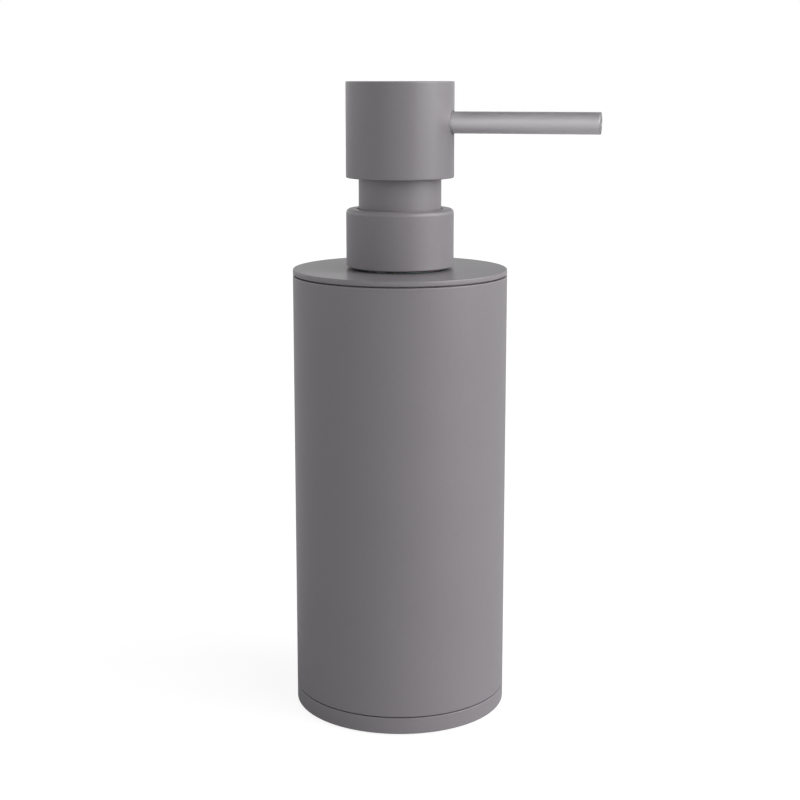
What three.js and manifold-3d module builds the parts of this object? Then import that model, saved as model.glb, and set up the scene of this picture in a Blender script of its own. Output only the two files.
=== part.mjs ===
// Soap pump dispenser: a round metal can with an inner soap bottle, a screwed collar and a press-down pump
// whose straight spout leaves the side of a cylindrical head.
// Millimetres, +Z up. The origin is the middle of the foot pad's underside, and the spout points along +X.

import * as THREE from 'three';
import { mergeVertices } from 'three/addons/utils/BufferGeometryUtils.js';
import Module from 'manifold-3d';

const wasm = await Module();
wasm.setup();

// Driving dimensions: radii
const BODY_RADIUS = 30;
const TUBE_WALL = 1;
const PUMP_RADIUS = 15; // head and collar are half as wide as the body
const COLLAR_WALL = 1;
const HEAD_WALL = 1.2;
const NECK_RADIUS = 11.5;
const NECK_BORE = 10.5;
const SPOUT_RADIUS = 3;
const SPOUT_BORE = 2.3;
const SPOUT_REACH = 55.3; // from the pump's axis to the tip
const SPOUT_LIP = 0.6; // thickness of the tube's closed end
const SPOUT_OUTLET = 1.2; // hole in that end
const BOTTLE_RADIUS = 26.2;
const BOTTLE_WALL = 1.2;
const BOTTLE_NECK_RADIUS = 11;
const BOTTLE_THREAD_RADIUS = 12.05; // 24 mm neck finish
const BOTTLE_MOUTH_RADIUS = 9.4;
const CYLINDER_RADIUS = 7;
const CYLINDER_BORE = 6;
const DIP_TUBE_RADIUS = 3.2;
const DIP_TUBE_BORE = 2.3;
const STEM_RADIUS = 3;
const STEM_BORE = 1.3;

// Driving dimensions: levels above the table
const PAD_PROUD = 0.4;
const PAD_TOP = 1.2;
const BASE_TOP = 5.1;
const BASE_FLOOR = 3.2;
const TUBE_BOTTOM = 5.4;
const TUBE_TOP = 124.35;
const LID_BOTTOM = 124.75;
const LID_TOP = 126.2;
const COLLAR_BOTTOM = 126.85;
const COLLAR_TOP = 142.9;
const NECK_BOTTOM = 142;
const HEAD_BOTTOM = 151.45;
const HEAD_TOP = 177.7;
const SPOUT_LEVEL = 166.6;
const BOTTLE_TOP = 130.4;
const CYLINDER_TOP = 132.8;
const SOCKET_BOTTOM = 76;
const DIP_TUBE_BOTTOM = 7.5;

// Clearance between pieces that touch or slide on the real dispenser
const GAP = 0.3;

// Facets round a circle
const WIDE = 48;
const MEDIUM = 28;
const SLIM = 20;
const BEAD = 6;

// One colour for each finish: powder-coated metal, satin steel, plastics, rubber, bright steel and glass
const COATED_METAL = { color: 0x77757a, roughness: 0.45, metalness: 0 };
const SATIN_STEEL = { color: 0xb0adb0, roughness: 0.4, metalness: 1 };
const WHITE_PLASTIC = { color: 0xe4e4df, roughness: 0.45, metalness: 0 };
const CLEAR_PLASTIC = { color: 0xd9dcda, roughness: 0.3, metalness: 0 };
const GREY_PLASTIC = { color: 0x55555a, roughness: 0.5, metalness: 0 };
const BLACK_RUBBER = { color: 0x202022, roughness: 0.8, metalness: 0 };
const SPRING_STEEL = { color: 0xb4b6b8, roughness: 0.3, metalness: 1 };
const BALL_GLASS = { color: 0xc8d4d2, roughness: 0.1, metalness: 0 };

// A body of revolution about Z. The outline runs anticlockwise, radius to the right and height upwards;
// it starts and ends on the axis, or closes on itself.
function turned(outline, facets) {
  const onAxis = outline[0][0] === 0;
  const loop = onAxis ? outline : [...outline, outline[0]];
  const points = loop.map(([radius, height]) => new THREE.Vector2(radius, height));
  return new THREE.LatheGeometry(points, facets).rotateX(Math.PI / 2);
}

// Points of a circular corner in an outline, between two angles in degrees
function corner(radius, height, size, from, to, steps = 3) {
  return Array.from({ length: steps + 1 }, (_, i) => {
    const angle = THREE.MathUtils.degToRad(from + ((to - from) * i) / steps);
    return [radius + size * Math.cos(angle), height + size * Math.sin(angle)];
  });
}

// A plain sleeve or washer
function sleeve(inner, outer, bottom, top, facets) {
  return turned([[inner, bottom], [outer, bottom], [outer, top], [inner, top]], facets);
}

// A rubber ring of round section
function roundRing(radius, height, section, facets) {
  return turned(corner(radius, height, section, 0, 360 - 360 / BEAD, BEAD - 1), facets);
}

// A solid cylinder standing on the Z axis
function rod(radius, bottom, top, facets) {
  return turned([[0, bottom], [radius, bottom], [radius, top], [0, top]], facets);
}

// Turns a piece made on the Z axis so that it lies along +X at the spout's level
function alongSpout(geometry) {
  return geometry.rotateY(Math.PI / 2).translate(0, 0, SPOUT_LEVEL);
}

function toSolid(geometry) {
  const bare = geometry.clone();
  bare.deleteAttribute('normal');
  bare.deleteAttribute('uv');
  const merged = mergeVertices(bare);
  const vertProperties = new Float32Array(merged.attributes.position.array);
  const triVerts = new Uint32Array(merged.index.array);
  return new wasm.Manifold(new wasm.Mesh({ numProp: 3, vertProperties, triVerts }));
}

function toGeometry(solid) {
  const mesh = solid.getMesh();
  const geometry = new THREE.BufferGeometry();
  geometry.setAttribute('position', new THREE.BufferAttribute(mesh.vertProperties, 3));
  geometry.setIndex(new THREE.BufferAttribute(mesh.triVerts, 1));
  geometry.computeVertexNormals();
  return geometry;
}

function cut(geometry, ...tools) {
  return toGeometry(tools.reduce((solid, tool) => solid.subtract(toSolid(tool)), toSolid(geometry)));
}

function join(geometry, ...others) {
  return toGeometry(others.reduce((solid, other) => solid.add(toSolid(other)), toSolid(geometry)));
}

// The ring under the lid and the one on the base are alike: they centre the tube and carry an O-ring.
const RIM_BORE = 26.6;
const RIM_RADIUS = 28.4;
const O_RING_SECTION = 0.6;
const O_RING_RADIUS = BODY_RADIUS - TUBE_WALL - GAP - O_RING_SECTION;
const GROOVE_RADIUS = 27.2;
const GROOVE_HALF = 0.9;
const BASE_GROOVE = 7.6;
const BASE_RIM_TOP = 10.4;
const LID_GROOVE = 121.6;
const LID_RIM_BOTTOM = 119.2;

function rimGroove(height) {
  return [
    [RIM_RADIUS, height - GROOVE_HALF],
    [GROOVE_RADIUS, height - GROOVE_HALF],
    [GROOVE_RADIUS, height + GROOVE_HALF],
    [RIM_RADIUS, height + GROOVE_HALF],
  ];
}

// Anti-slip disc in the underside of the base
const PAD_RADIUS = 25.5;

function footPad() {
  const edge = 0.3;
  const rim = [[PAD_RADIUS - edge, 0], [PAD_RADIUS, edge], [PAD_RADIUS, PAD_TOP]];
  return turned([[0, 0], ...rim, [0, PAD_TOP]], MEDIUM);
}

// Metal foot with a pocket for the pad below and a rim that plugs the tube
function basePlate() {
  const edge = 0.3;
  const pocket = PAD_RADIUS + GAP;
  return turned([
    [0, PAD_TOP + GAP],
    [pocket, PAD_TOP + GAP],
    [pocket, PAD_PROUD],
    [BODY_RADIUS - edge, PAD_PROUD],
    [BODY_RADIUS, PAD_PROUD + edge],
    [BODY_RADIUS, BASE_TOP],
    [RIM_RADIUS, BASE_TOP],
    ...rimGroove(BASE_GROOVE),
    [RIM_RADIUS, BASE_RIM_TOP - edge],
    [RIM_RADIUS - edge, BASE_RIM_TOP],
    [RIM_BORE, BASE_RIM_TOP],
    [RIM_BORE, BASE_FLOOR],
    [0, BASE_FLOOR],
  ], WIDE);
}

function bodyTube() {
  return sleeve(BODY_RADIUS - TUBE_WALL, BODY_RADIUS, TUBE_BOTTOM, TUBE_TOP, WIDE);
}

// Flat lid with a hole for the bottle's neck
function lidPlate() {
  const edge = 0.3;
  const hole = BOTTLE_THREAD_RADIUS + 0.55;
  return turned([
    [hole, LID_BOTTOM],
    [RIM_BORE, LID_BOTTOM],
    [RIM_BORE, LID_RIM_BOTTOM],
    [RIM_RADIUS - edge, LID_RIM_BOTTOM],
    [RIM_RADIUS, LID_RIM_BOTTOM + edge],
    ...rimGroove(LID_GROOVE),
    [RIM_RADIUS, LID_BOTTOM],
    [BODY_RADIUS, LID_BOTTOM],
    [BODY_RADIUS, LID_TOP - edge],
    [BODY_RADIUS - edge, LID_TOP],
    [hole, LID_TOP],
  ], WIDE);
}

// Blown plastic bottle: flat floor, round shoulder, and a threaded neck that passes through the lid
function innerBottle() {
  const bottom = BASE_FLOOR + GAP;
  const heel = 1.2;
  const shoulder = 10;
  const shoulderLevel = 109;
  const shoulderCentre = BOTTLE_RADIUS - shoulder;
  const bead = 13.6;
  const beadTop = LID_BOTTOM - 0.45;
  const beadBottom = beadTop - 1.1;
  const thread = COLLAR_BOTTOM + 0.75;
  const inner = BOTTLE_RADIUS - BOTTLE_WALL;
  const outside = [
    [0, bottom],
    [BOTTLE_RADIUS - heel, bottom],
    [BOTTLE_RADIUS, bottom + heel],
    ...corner(shoulderCentre, shoulderLevel, shoulder, 0, 80, 4),
    [BOTTLE_NECK_RADIUS, shoulderLevel + shoulder + 1],
    [BOTTLE_NECK_RADIUS, beadBottom - 0.3],
    [bead, beadBottom],
    [bead, beadTop],
    [BOTTLE_NECK_RADIUS, beadTop + 0.1],
    [BOTTLE_NECK_RADIUS, thread - 0.4],
    [BOTTLE_THREAD_RADIUS, thread],
    [BOTTLE_THREAD_RADIUS, thread + 0.7],
    [BOTTLE_NECK_RADIUS, thread + 1.2],
    [BOTTLE_NECK_RADIUS, BOTTLE_TOP],
  ];
  const inside = [
    [BOTTLE_MOUTH_RADIUS, BOTTLE_TOP],
    [BOTTLE_MOUTH_RADIUS, shoulderLevel + shoulder - 0.6],
    ...corner(shoulderCentre, shoulderLevel, shoulder - BOTTLE_WALL, 80, 0, 4),
    [inner, bottom + BOTTLE_WALL],
    [0, bottom + BOTTLE_WALL],
  ];
  return turned([...outside, ...inside], MEDIUM);
}

// Collar: turned metal cap over the closure, with a hole that the neck slides through
const COLLAR_HOLE = 11.9;
const COLLAR_CEILING = COLLAR_TOP - 1.2;

function collarShell() {
  const topEdge = 1.1;
  const lowEdge = 0.8;
  const inner = PUMP_RADIUS - COLLAR_WALL;
  return turned([
    [inner, COLLAR_BOTTOM],
    ...corner(PUMP_RADIUS - lowEdge, COLLAR_BOTTOM + lowEdge, lowEdge, -90, 0, 2),
    ...corner(PUMP_RADIUS - topEdge, COLLAR_TOP - topEdge, topEdge, 0, 90),
    [COLLAR_HOLE, COLLAR_TOP],
    [COLLAR_HOLE, COLLAR_CEILING],
    [inner, COLLAR_CEILING],
  ], MEDIUM);
}

// Plastic guide ring for the neck, pressed up under the collar's top
function neckBush() {
  const height = 3;
  const top = COLLAR_CEILING - GAP;
  const outer = PUMP_RADIUS - COLLAR_WALL - GAP;
  return sleeve(NECK_RADIUS + GAP, outer, top - height, top, MEDIUM);
}

// Screw closure inside the collar; its inward lip holds the pump's flange down
const NUT_RADIUS = PUMP_RADIUS - COLLAR_WALL - GAP;
const NUT_BORE = BOTTLE_THREAD_RADIUS + GAP;
const NUT_BOTTOM = 127.6;
const NUT_CEILING = CYLINDER_TOP + GAP;
const NUT_TOP = NUT_CEILING + 1.2;
const NUT_HOLE = 9.6;

function closureNut() {
  return turned([
    [NUT_BORE, NUT_BOTTOM],
    [NUT_RADIUS, NUT_BOTTOM],
    [NUT_RADIUS, NUT_TOP],
    [NUT_HOLE, NUT_TOP],
    [NUT_HOLE, NUT_CEILING],
    [NUT_BORE, NUT_CEILING],
  ], MEDIUM);
}

function collarWasher() {
  return sleeve(NUT_BORE + 0.25, NUT_RADIUS, LID_TOP + GAP, NUT_BOTTOM - GAP, MEDIUM);
}

// Pump cylinder: flange that hangs on the bottle's mouth, barrel, ball chamber with its seat, tube socket
const FLANGE_RADIUS = 12;
const FLANGE_BOTTOM = CYLINDER_TOP - 1;
const CHAMBER_RADIUS = 3.1;
const SEAT_LEVEL = 89.5;
const SEAT_HOLE = 1.7;
const SEAT_DEPTH = 1.5;
const CHAMBER_TOP = 94;
const BARREL_BOTTOM = CHAMBER_TOP + 1.8;
const SOCKET_RADIUS = 4.7;
const SOCKET_TOP = 86.6;
const VENT_LEVEL = 127.5;
const VENT_RADIUS = 0.7;

function pumpCylinder() {
  const wall = CYLINDER_RADIUS - CYLINDER_BORE;
  const barrel = turned([
    [DIP_TUBE_RADIUS + GAP, SOCKET_BOTTOM],
    [SOCKET_RADIUS, SOCKET_BOTTOM],
    [SOCKET_RADIUS, CHAMBER_TOP],
    [CYLINDER_RADIUS, BARREL_BOTTOM],
    [CYLINDER_RADIUS, FLANGE_BOTTOM],
    [FLANGE_RADIUS, FLANGE_BOTTOM],
    [FLANGE_RADIUS, CYLINDER_TOP],
    [CYLINDER_BORE, CYLINDER_TOP],
    [CYLINDER_BORE, BARREL_BOTTOM],
    [CHAMBER_RADIUS, CHAMBER_TOP],
    [CHAMBER_RADIUS, SEAT_LEVEL],
    [SEAT_HOLE, SEAT_LEVEL - SEAT_DEPTH],
    [SEAT_HOLE, SOCKET_TOP],
    [DIP_TUBE_RADIUS + GAP, SOCKET_TOP],
  ], SLIM);
  const vent = new THREE.CylinderGeometry(VENT_RADIUS, VENT_RADIUS, 3 * wall, 8);
  vent.translate(0, CYLINDER_RADIUS - wall / 2, VENT_LEVEL);
  return cut(barrel, vent);
}

function closureGasket() {
  return sleeve(CYLINDER_RADIUS + GAP, FLANGE_RADIUS, BOTTLE_TOP + GAP, FLANGE_BOTTOM - GAP, MEDIUM);
}

// Keeps the inlet ball near its seat and centres the spring
const RETAINER_TOP = 97.9;

function ballRetainer() {
  const bore = 1.6;
  const stop = 2.7;
  const boss = 3.6;
  const flange = CYLINDER_BORE - GAP;
  return turned([
    [bore, CHAMBER_TOP + GAP],
    [stop, CHAMBER_TOP + GAP],
    [stop, BARREL_BOTTOM + GAP],
    [flange, BARREL_BOTTOM + GAP],
    [flange, RETAINER_TOP],
    [boss, RETAINER_TOP],
    [boss, RETAINER_TOP + 1.5],
    [bore, RETAINER_TOP + 1.5],
  ], SLIM);
}

// Locking plug of the cylinder, which guides the stem
function chaplet() {
  const bore = STEM_RADIUS + GAP;
  const plugBottom = 124.3;
  const flangeTop = CYLINDER_TOP + 1.7;
  const tower = 5.2;
  const towerTop = 141;
  return turned([
    [bore, plugBottom],
    [CYLINDER_BORE - GAP, plugBottom],
    [CYLINDER_BORE - GAP, CYLINDER_TOP + GAP],
    [NUT_HOLE - GAP, CYLINDER_TOP + GAP],
    [NUT_HOLE - GAP, flangeTop],
    [tower, flangeTop],
    [tower, towerTop],
    [bore, towerTop],
  ], SLIM);
}

// Suction tube, cut at a slant where it stands near the bottle's floor
function dipTube() {
  const slant = THREE.MathUtils.degToRad(35);
  const tube = sleeve(DIP_TUBE_BORE, DIP_TUBE_RADIUS, DIP_TUBE_BOTTOM, SOCKET_TOP - GAP, SLIM);
  const side = 6 * DIP_TUBE_RADIUS;
  const knife = new THREE.BoxGeometry(side, side, side).translate(0, 0, -side / 2).rotateY(slant);
  knife.translate(0, 0, DIP_TUBE_BOTTOM + DIP_TUBE_RADIUS * Math.tan(slant));
  return cut(tube, knife);
}

// Valve balls rest just clear of their conical seats
const INLET_BALL_RADIUS = 2.4;
const INLET_BALL_LEVEL = 90.05;
const OUTLET_BALL_RADIUS = 1.6;
const OUTLET_BALL_LEVEL = 119.95;

function ball(radius, level) {
  const around = 12;
  const up = 8;
  return new THREE.SphereGeometry(radius, around, up).rotateX(Math.PI / 2).translate(0, 0, level);
}

// Piston carrier: foot that the spring lifts, and the outlet ball's chamber
const FOOT_BOTTOM = 115.5;
const FOOT_FLANGE_TOP = FOOT_BOTTOM + 1.5;
const FOOT_TOP = 125;
const OUTLET_CHAMBER = 2.1;

function stemFoot() {
  const hole = 1.2;
  const seatBottom = 118.6;
  const seatTop = 119.6;
  return turned([
    [hole, FOOT_BOTTOM],
    [5.2, FOOT_BOTTOM],
    [5.2, FOOT_FLANGE_TOP],
    [STEM_RADIUS, FOOT_FLANGE_TOP],
    [STEM_RADIUS, FOOT_TOP],
    [OUTLET_CHAMBER, FOOT_TOP],
    [OUTLET_CHAMBER, seatTop],
    [hole, seatBottom],
  ], SLIM);
}

// Hollow stem that carries the head and the soap
const STEM_TOP = 161;

function stem() {
  const plugBottom = 123;
  const plug = OUTLET_CHAMBER - GAP;
  return turned([
    [STEM_BORE, plugBottom],
    [plug, plugBottom],
    [plug, FOOT_TOP + GAP],
    [STEM_RADIUS, FOOT_TOP + GAP],
    [STEM_RADIUS, STEM_TOP],
    [STEM_BORE, STEM_TOP],
  ], SLIM);
}

// Soft piston with a sealing lip at each end
function piston() {
  const bottom = FOOT_FLANGE_TOP + GAP;
  const top = 123.5;
  const lip = CYLINDER_BORE - GAP;
  const waist = 4.9;
  return turned([
    [STEM_RADIUS + GAP, bottom],
    [lip, bottom],
    [lip, bottom + 1],
    [waist, bottom + 2],
    [waist, top - 2],
    [lip, top - 1],
    [lip, top],
    [STEM_RADIUS + GAP, top],
  ], SLIM);
}

// Compression spring between the ball retainer and the stem's foot
const SPRING_RADIUS = 4.7;
const SPRING_WIRE = 0.45;
const SPRING_TURNS = 6.5;

class Helix extends THREE.Curve {
  getPoint(t, target = new THREE.Vector3()) {
    const bottom = RETAINER_TOP + GAP + SPRING_WIRE;
    const top = FOOT_BOTTOM - GAP - SPRING_WIRE;
    const angle = 2 * Math.PI * SPRING_TURNS * t;
    const height = bottom + (top - bottom) * t;
    return target.set(SPRING_RADIUS * Math.cos(angle), SPRING_RADIUS * Math.sin(angle), height);
  }
}

function returnSpring() {
  const section = new THREE.Shape();
  section.absarc(0, 0, SPRING_WIRE, 0, 2 * Math.PI, false);
  const steps = Math.round(SPRING_TURNS * 10);
  return new THREE.ExtrudeGeometry(section, { steps, curveSegments: 3, extrudePath: new Helix() });
}

// Head: deep cap with a hole in its side for the spout
function headShell() {
  const edge = 0.25;
  const inner = PUMP_RADIUS - HEAD_WALL;
  const ceiling = HEAD_TOP - 1.5;
  const cap = turned([
    [0, ceiling],
    [inner, ceiling],
    [inner, HEAD_BOTTOM],
    [PUMP_RADIUS - edge, HEAD_BOTTOM],
    [PUMP_RADIUS, HEAD_BOTTOM + edge],
    [PUMP_RADIUS, HEAD_TOP - edge],
    [PUMP_RADIUS - edge, HEAD_TOP],
    [0, HEAD_TOP],
  ], WIDE);
  return cut(cap, alongSpout(rod(SPOUT_RADIUS + GAP, inner - 3, PUMP_RADIUS + 3, SLIM)));
}

// Neck: sleeve that slides into the collar; its flange closes the head from below
const NECK_FLANGE_BOTTOM = HEAD_BOTTOM + 0.55;
const NECK_FLANGE_TOP = NECK_FLANGE_BOTTOM + 1.2;

function neckSleeve() {
  const flange = PUMP_RADIUS - HEAD_WALL - GAP;
  const edge = 0.2;
  return turned([
    [NECK_BORE, NECK_BOTTOM],
    [NECK_RADIUS - edge, NECK_BOTTOM],
    [NECK_RADIUS, NECK_BOTTOM + edge],
    [NECK_RADIUS, NECK_FLANGE_BOTTOM],
    [flange, NECK_FLANGE_BOTTOM],
    [flange, NECK_FLANGE_TOP],
    [NECK_BORE, NECK_FLANGE_TOP],
  ], MEDIUM);
}

// Moulded core of the head: hub on the stem, a cross channel to the spout, and two discs that fill the shell
const CORE_BOTTOM = NECK_FLANGE_TOP + GAP;
const CORE_TOP = 175.9;
const SPOUT_ROOT = 6; // where the spout's tubes end in the core, from the axis
const SEAL_FROM = 8;
const SEAL_TO = 9.7;

function actuatorCore() {
  const disc = PUMP_RADIUS - HEAD_WALL - GAP;
  const hub = 6;
  const boss = 5.4;
  const plate = 2;
  const body = turned([
    [0, CORE_BOTTOM],
    [disc, CORE_BOTTOM],
    [disc, CORE_BOTTOM + plate],
    [hub, CORE_BOTTOM + plate],
    [hub, CORE_TOP - plate],
    [disc, CORE_TOP - plate],
    [disc, CORE_TOP],
    [0, CORE_TOP],
  ], MEDIUM);
  const bossEnd = Math.sqrt(disc ** 2 - boss ** 2) - 0.1; // its corners stay inside the shell
  const solid = join(body, alongSpout(rod(boss, 0, bossEnd, SLIM)));
  const channel = STEM_BORE + 0.1;
  return cut(
    solid,
    rod(STEM_RADIUS + GAP, CORE_BOTTOM - 1, STEM_TOP + GAP, SLIM),
    rod(channel, STEM_TOP, SPOUT_LEVEL + channel, SLIM),
    alongSpout(rod(channel, 0, SPOUT_ROOT, SLIM)),
    alongSpout(rod(SPOUT_RADIUS + GAP, SPOUT_ROOT - GAP, PUMP_RADIUS, SLIM)),
    alongSpout(rod(SPOUT_RADIUS + 1.2, SEAL_FROM, SEAL_TO, SLIM)),
  );
}

// Straight steel spout with a small outlet in its flat end, and a plastic inner tube that carries the soap
function spoutTube() {
  const edge = 0.25;
  return alongSpout(turned([
    [SPOUT_BORE, SPOUT_ROOT],
    [SPOUT_RADIUS, SPOUT_ROOT],
    [SPOUT_RADIUS, SPOUT_REACH - edge],
    [SPOUT_RADIUS - edge, SPOUT_REACH],
    [SPOUT_OUTLET, SPOUT_REACH],
    [SPOUT_OUTLET, SPOUT_REACH - SPOUT_LIP],
    [SPOUT_BORE, SPOUT_REACH - SPOUT_LIP],
  ], SLIM));
}

function spoutLiner() {
  const end = SPOUT_REACH - SPOUT_LIP - GAP;
  return alongSpout(sleeve(SPOUT_OUTLET, SPOUT_BORE - GAP, SPOUT_ROOT, end, SLIM));
}

function spoutSeal() {
  const section = 0.35;
  return alongSpout(roundRing(SPOUT_RADIUS + GAP + section, (SEAL_FROM + SEAL_TO) / 2, section, SLIM));
}

function named(name, geometry, finish) {
  const mesh = new THREE.Mesh(geometry, new THREE.MeshStandardMaterial(finish));
  mesh.name = name;
  return mesh;
}

function group(...meshes) {
  const bench = new THREE.Group();
  bench.add(...meshes);
  return bench;
}

const housing = group(
  named('foot_pad', footPad(), BLACK_RUBBER),
  named('base_plate', basePlate(), COATED_METAL),
  named('base_o_ring', roundRing(O_RING_RADIUS, BASE_GROOVE, O_RING_SECTION, MEDIUM), BLACK_RUBBER),
  named('body_tube', bodyTube(), COATED_METAL),
  named('lid_plate', lidPlate(), COATED_METAL),
  named('lid_o_ring', roundRing(O_RING_RADIUS, LID_GROOVE, O_RING_SECTION, MEDIUM), BLACK_RUBBER),
  named('inner_bottle', innerBottle(), CLEAR_PLASTIC),
);

const closure = group(
  named('collar_shell', collarShell(), COATED_METAL),
  named('neck_bush', neckBush(), GREY_PLASTIC),
  named('closure_nut', closureNut(), GREY_PLASTIC),
  named('collar_washer', collarWasher(), BLACK_RUBBER),
);

const pump = group(
  named('pump_cylinder', pumpCylinder(), WHITE_PLASTIC),
  named('closure_gasket', closureGasket(), BLACK_RUBBER),
  named('chaplet', chaplet(), WHITE_PLASTIC),
  named('ball_retainer', ballRetainer(), WHITE_PLASTIC),
  named('dip_tube', dipTube(), CLEAR_PLASTIC),
  named('inlet_ball', ball(INLET_BALL_RADIUS, INLET_BALL_LEVEL), BALL_GLASS),
);

const plunger = group(
  named('stem', stem(), WHITE_PLASTIC),
  named('stem_foot', stemFoot(), WHITE_PLASTIC),
  named('piston', piston(), CLEAR_PLASTIC),
  named('return_spring', returnSpring(), SPRING_STEEL),
  named('outlet_ball', ball(OUTLET_BALL_RADIUS, OUTLET_BALL_LEVEL), SPRING_STEEL),
);

const head = group(
  named('head_shell', headShell(), COATED_METAL),
  named('neck_sleeve', neckSleeve(), COATED_METAL),
  named('actuator_core', actuatorCore(), GREY_PLASTIC),
  named('spout_tube', spoutTube(), SATIN_STEEL),
  named('spout_liner', spoutLiner(), GREY_PLASTIC),
  named('spout_seal', spoutSeal(), BLACK_RUBBER),
);

const dispenser = new THREE.Group();
dispenser.add(housing, closure, pump, plunger, head);

export default dispenser;
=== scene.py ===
"""Soap pump dispenser: a powder-coated metal can with a press-down pump, dressed piece by piece.

Metres, +Z up. The pump's axis is the Z axis, the table is at zero, and the spout points along +X.
"""

import math

import bmesh
import bpy
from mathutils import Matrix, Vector


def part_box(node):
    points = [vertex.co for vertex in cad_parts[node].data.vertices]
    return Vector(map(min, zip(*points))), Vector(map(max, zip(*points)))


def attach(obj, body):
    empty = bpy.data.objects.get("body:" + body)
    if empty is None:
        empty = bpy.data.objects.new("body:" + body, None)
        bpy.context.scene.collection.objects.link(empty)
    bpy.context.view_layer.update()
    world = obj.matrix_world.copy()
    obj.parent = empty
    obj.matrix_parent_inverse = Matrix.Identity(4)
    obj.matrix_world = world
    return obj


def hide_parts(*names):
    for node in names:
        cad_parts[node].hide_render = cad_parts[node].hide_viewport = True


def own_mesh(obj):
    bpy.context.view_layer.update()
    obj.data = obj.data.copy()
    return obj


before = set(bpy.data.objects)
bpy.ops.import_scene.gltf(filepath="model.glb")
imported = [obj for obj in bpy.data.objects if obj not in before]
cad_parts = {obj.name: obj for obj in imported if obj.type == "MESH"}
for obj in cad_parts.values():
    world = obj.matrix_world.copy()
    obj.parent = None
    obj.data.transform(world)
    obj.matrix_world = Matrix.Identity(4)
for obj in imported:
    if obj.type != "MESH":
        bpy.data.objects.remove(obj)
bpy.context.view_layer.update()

# ------------------------
# Base plate
# A turned steel foot: a pocket below holds the rubber pad, and a rim above plugs the can's tube.
# It is powder-coated, like every metal piece that shows.
# ------------------------
MM = 0.001
pad_low, pad_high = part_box("foot_pad")
base_low, base_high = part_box("base_plate")
tube_low, tube_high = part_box("body_tube")
body_radius = tube_high.x
seam = 0.3 * MM
rim_radius = 28.4 * MM
rim_bore = 26.6 * MM
groove_radius = 27.2 * MM
groove_half = 0.9 * MM
base_groove = 7.6 * MM
base_floor = 3.2 * MM


def eased(outline, steps=5):
    """Rounds each corner of an outline of (radius, height, ease) by its own ease.
    Gives points of (radius, height, edge), where edge is 1 on a rounded corner and 0 elsewhere."""
    points = []
    for i, (radius, height, ease) in enumerate(outline):
        if ease == 0:
            points.append((radius, height, 0.0))
            continue
        here = Vector((radius, height))
        before = (Vector(outline[i - 1][:2]) - here).normalized()
        after = (Vector(outline[(i + 1) % len(outline)][:2]) - here).normalized()
        half = before.angle(after) / 2
        centre = here + (before + after).normalized() * (ease / math.sin(half))
        spoke = here + before * (ease / math.tan(half)) - centre
        bend = math.copysign(math.pi - 2 * half, before.cross(after) * -1)
        for k in range(steps + 1):
            turn = bend * k / steps
            x = spoke.x * math.cos(turn) - spoke.y * math.sin(turn)
            y = spoke.x * math.sin(turn) + spoke.y * math.cos(turn)
            points.append((centre.x + x, centre.y + y, 1.0))
    return points


def guarded(points, closed, guard=0.25 * MM):
    """Adds a point near each end of every long straight stretch, so that flats shade flat."""
    out = []
    for i, here in enumerate(points):
        out.append(here)
        if not closed and i == len(points) - 1:
            break
        there = points[(i + 1) % len(points)]
        gap = Vector(there[:2]) - Vector(here[:2])
        if gap.length > 4 * guard:
            step = gap.normalized() * guard
            out.append((here[0] + step.x, here[1] + step.y, 0.0))
            out.append((there[0] - step.x, there[1] - step.y, 0.0))
    return out


def filled(mesh, shape, crease=math.radians(38)):
    """Puts a bmesh into a mesh: smooth faces, with the sharp corners kept."""
    bmesh.ops.recalc_face_normals(shape, faces=shape.faces)
    for face in shape.faces:
        face.smooth = True
    for edge in shape.edges:
        edge.smooth = len(edge.link_faces) == 2 and edge.calc_face_angle() < crease
    shape.to_mesh(mesh)
    shape.free()


def shown(name, shape):
    """Makes a piece from a bmesh."""
    mesh = bpy.data.meshes.new(name)
    filled(mesh, shape)
    piece = bpy.data.objects.new(name, mesh)
    bpy.context.scene.collection.objects.link(piece)
    return piece


def revolve(shape, outline, rounds):
    """Adds a body of revolution about Z to a bmesh. The outline runs anticlockwise, radius first;
    it starts and ends on the axis, or closes on itself. A vertex layer named edge marks the rounded
    corners."""
    closed = outline[0][0] > 0
    ring = guarded(eased(outline), closed)
    layer = shape.verts.layers.float.get("edge") or shape.verts.layers.float.new("edge")
    rows = []
    for radius, height, edge in ring:
        around = 1 if radius < 1e-7 else rounds
        row = []
        for k in range(around):
            angle = 2 * math.pi * k / rounds
            vertex = shape.verts.new((radius * math.cos(angle), radius * math.sin(angle), height))
            vertex[layer] = edge
            row.append(vertex)
        rows.append(row)
    pairs = list(zip(rows, rows[1:] + rows[:1])) if closed else list(zip(rows, rows[1:]))
    for low, high in pairs:
        for k in range(rounds):
            n = (k + 1) % rounds
            corners = [low[k % len(low)], low[n % len(low)], high[n % len(high)], high[k % len(high)]]
            kept = [v for i, v in enumerate(corners) if v not in corners[:i]]
            if len(kept) > 2:
                shape.faces.new(kept)


def turned(name, *outlines, rounds=128):
    """A piece turned about Z, from one or more outlines."""
    shape = bmesh.new()
    for outline in outlines:
        revolve(shape, outline, rounds)
    return shown(name, shape)


def new_group(name, inputs, outputs):
    """A shader node group with named sockets; gives the group, its inner input and its inner output."""
    group = bpy.data.node_groups.new(name, "ShaderNodeTree")
    for label, value in inputs:
        socket = group.interface.new_socket(label, in_out="INPUT", socket_type="NodeSocketFloat")
        socket.default_value = value
    for label in outputs:
        group.interface.new_socket(label, in_out="OUTPUT", socket_type="NodeSocketFloat")
    return group, group.nodes.new("NodeGroupInput"), group.nodes.new("NodeGroupOutput")


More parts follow.
